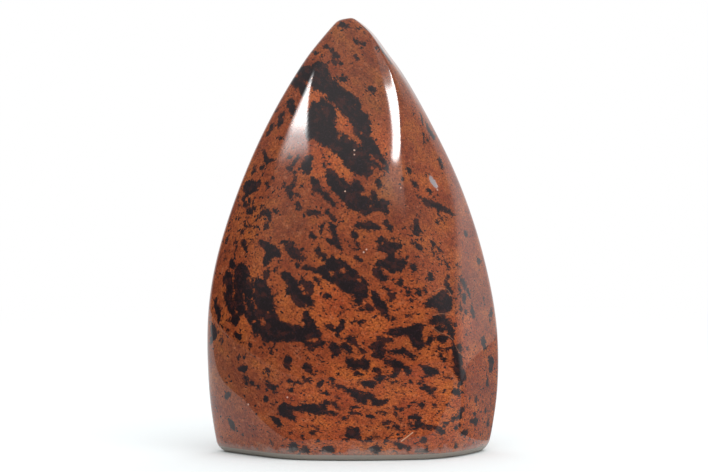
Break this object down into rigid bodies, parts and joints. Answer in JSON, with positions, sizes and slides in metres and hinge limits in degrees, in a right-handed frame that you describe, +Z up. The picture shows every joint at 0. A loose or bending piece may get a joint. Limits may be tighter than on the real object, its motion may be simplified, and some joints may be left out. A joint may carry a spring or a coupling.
{
  "type": "polished mahogany obsidian freeform",
  "caption": "Free-standing teardrop freeform of red-brown and black volcanic glass, polished all over, with a flat sawn foot to stand on.",
  "frame": {"origin": "middle of the stone's outline, on the surface that it stands on", "axes": "+Z up to the tip, -Y out of the broad front face, +X to the side with the long ground ridges"},
  "size_m": [0.0742, 0.0384, 0.1102],
  "materials": {
    "mahogany_obsidian": "mirror polish, red-brown with ragged black patches"
  },
  "bodies": {
    "root": {"stone": "mahogany_obsidian"}
  },
  "joints": []
}
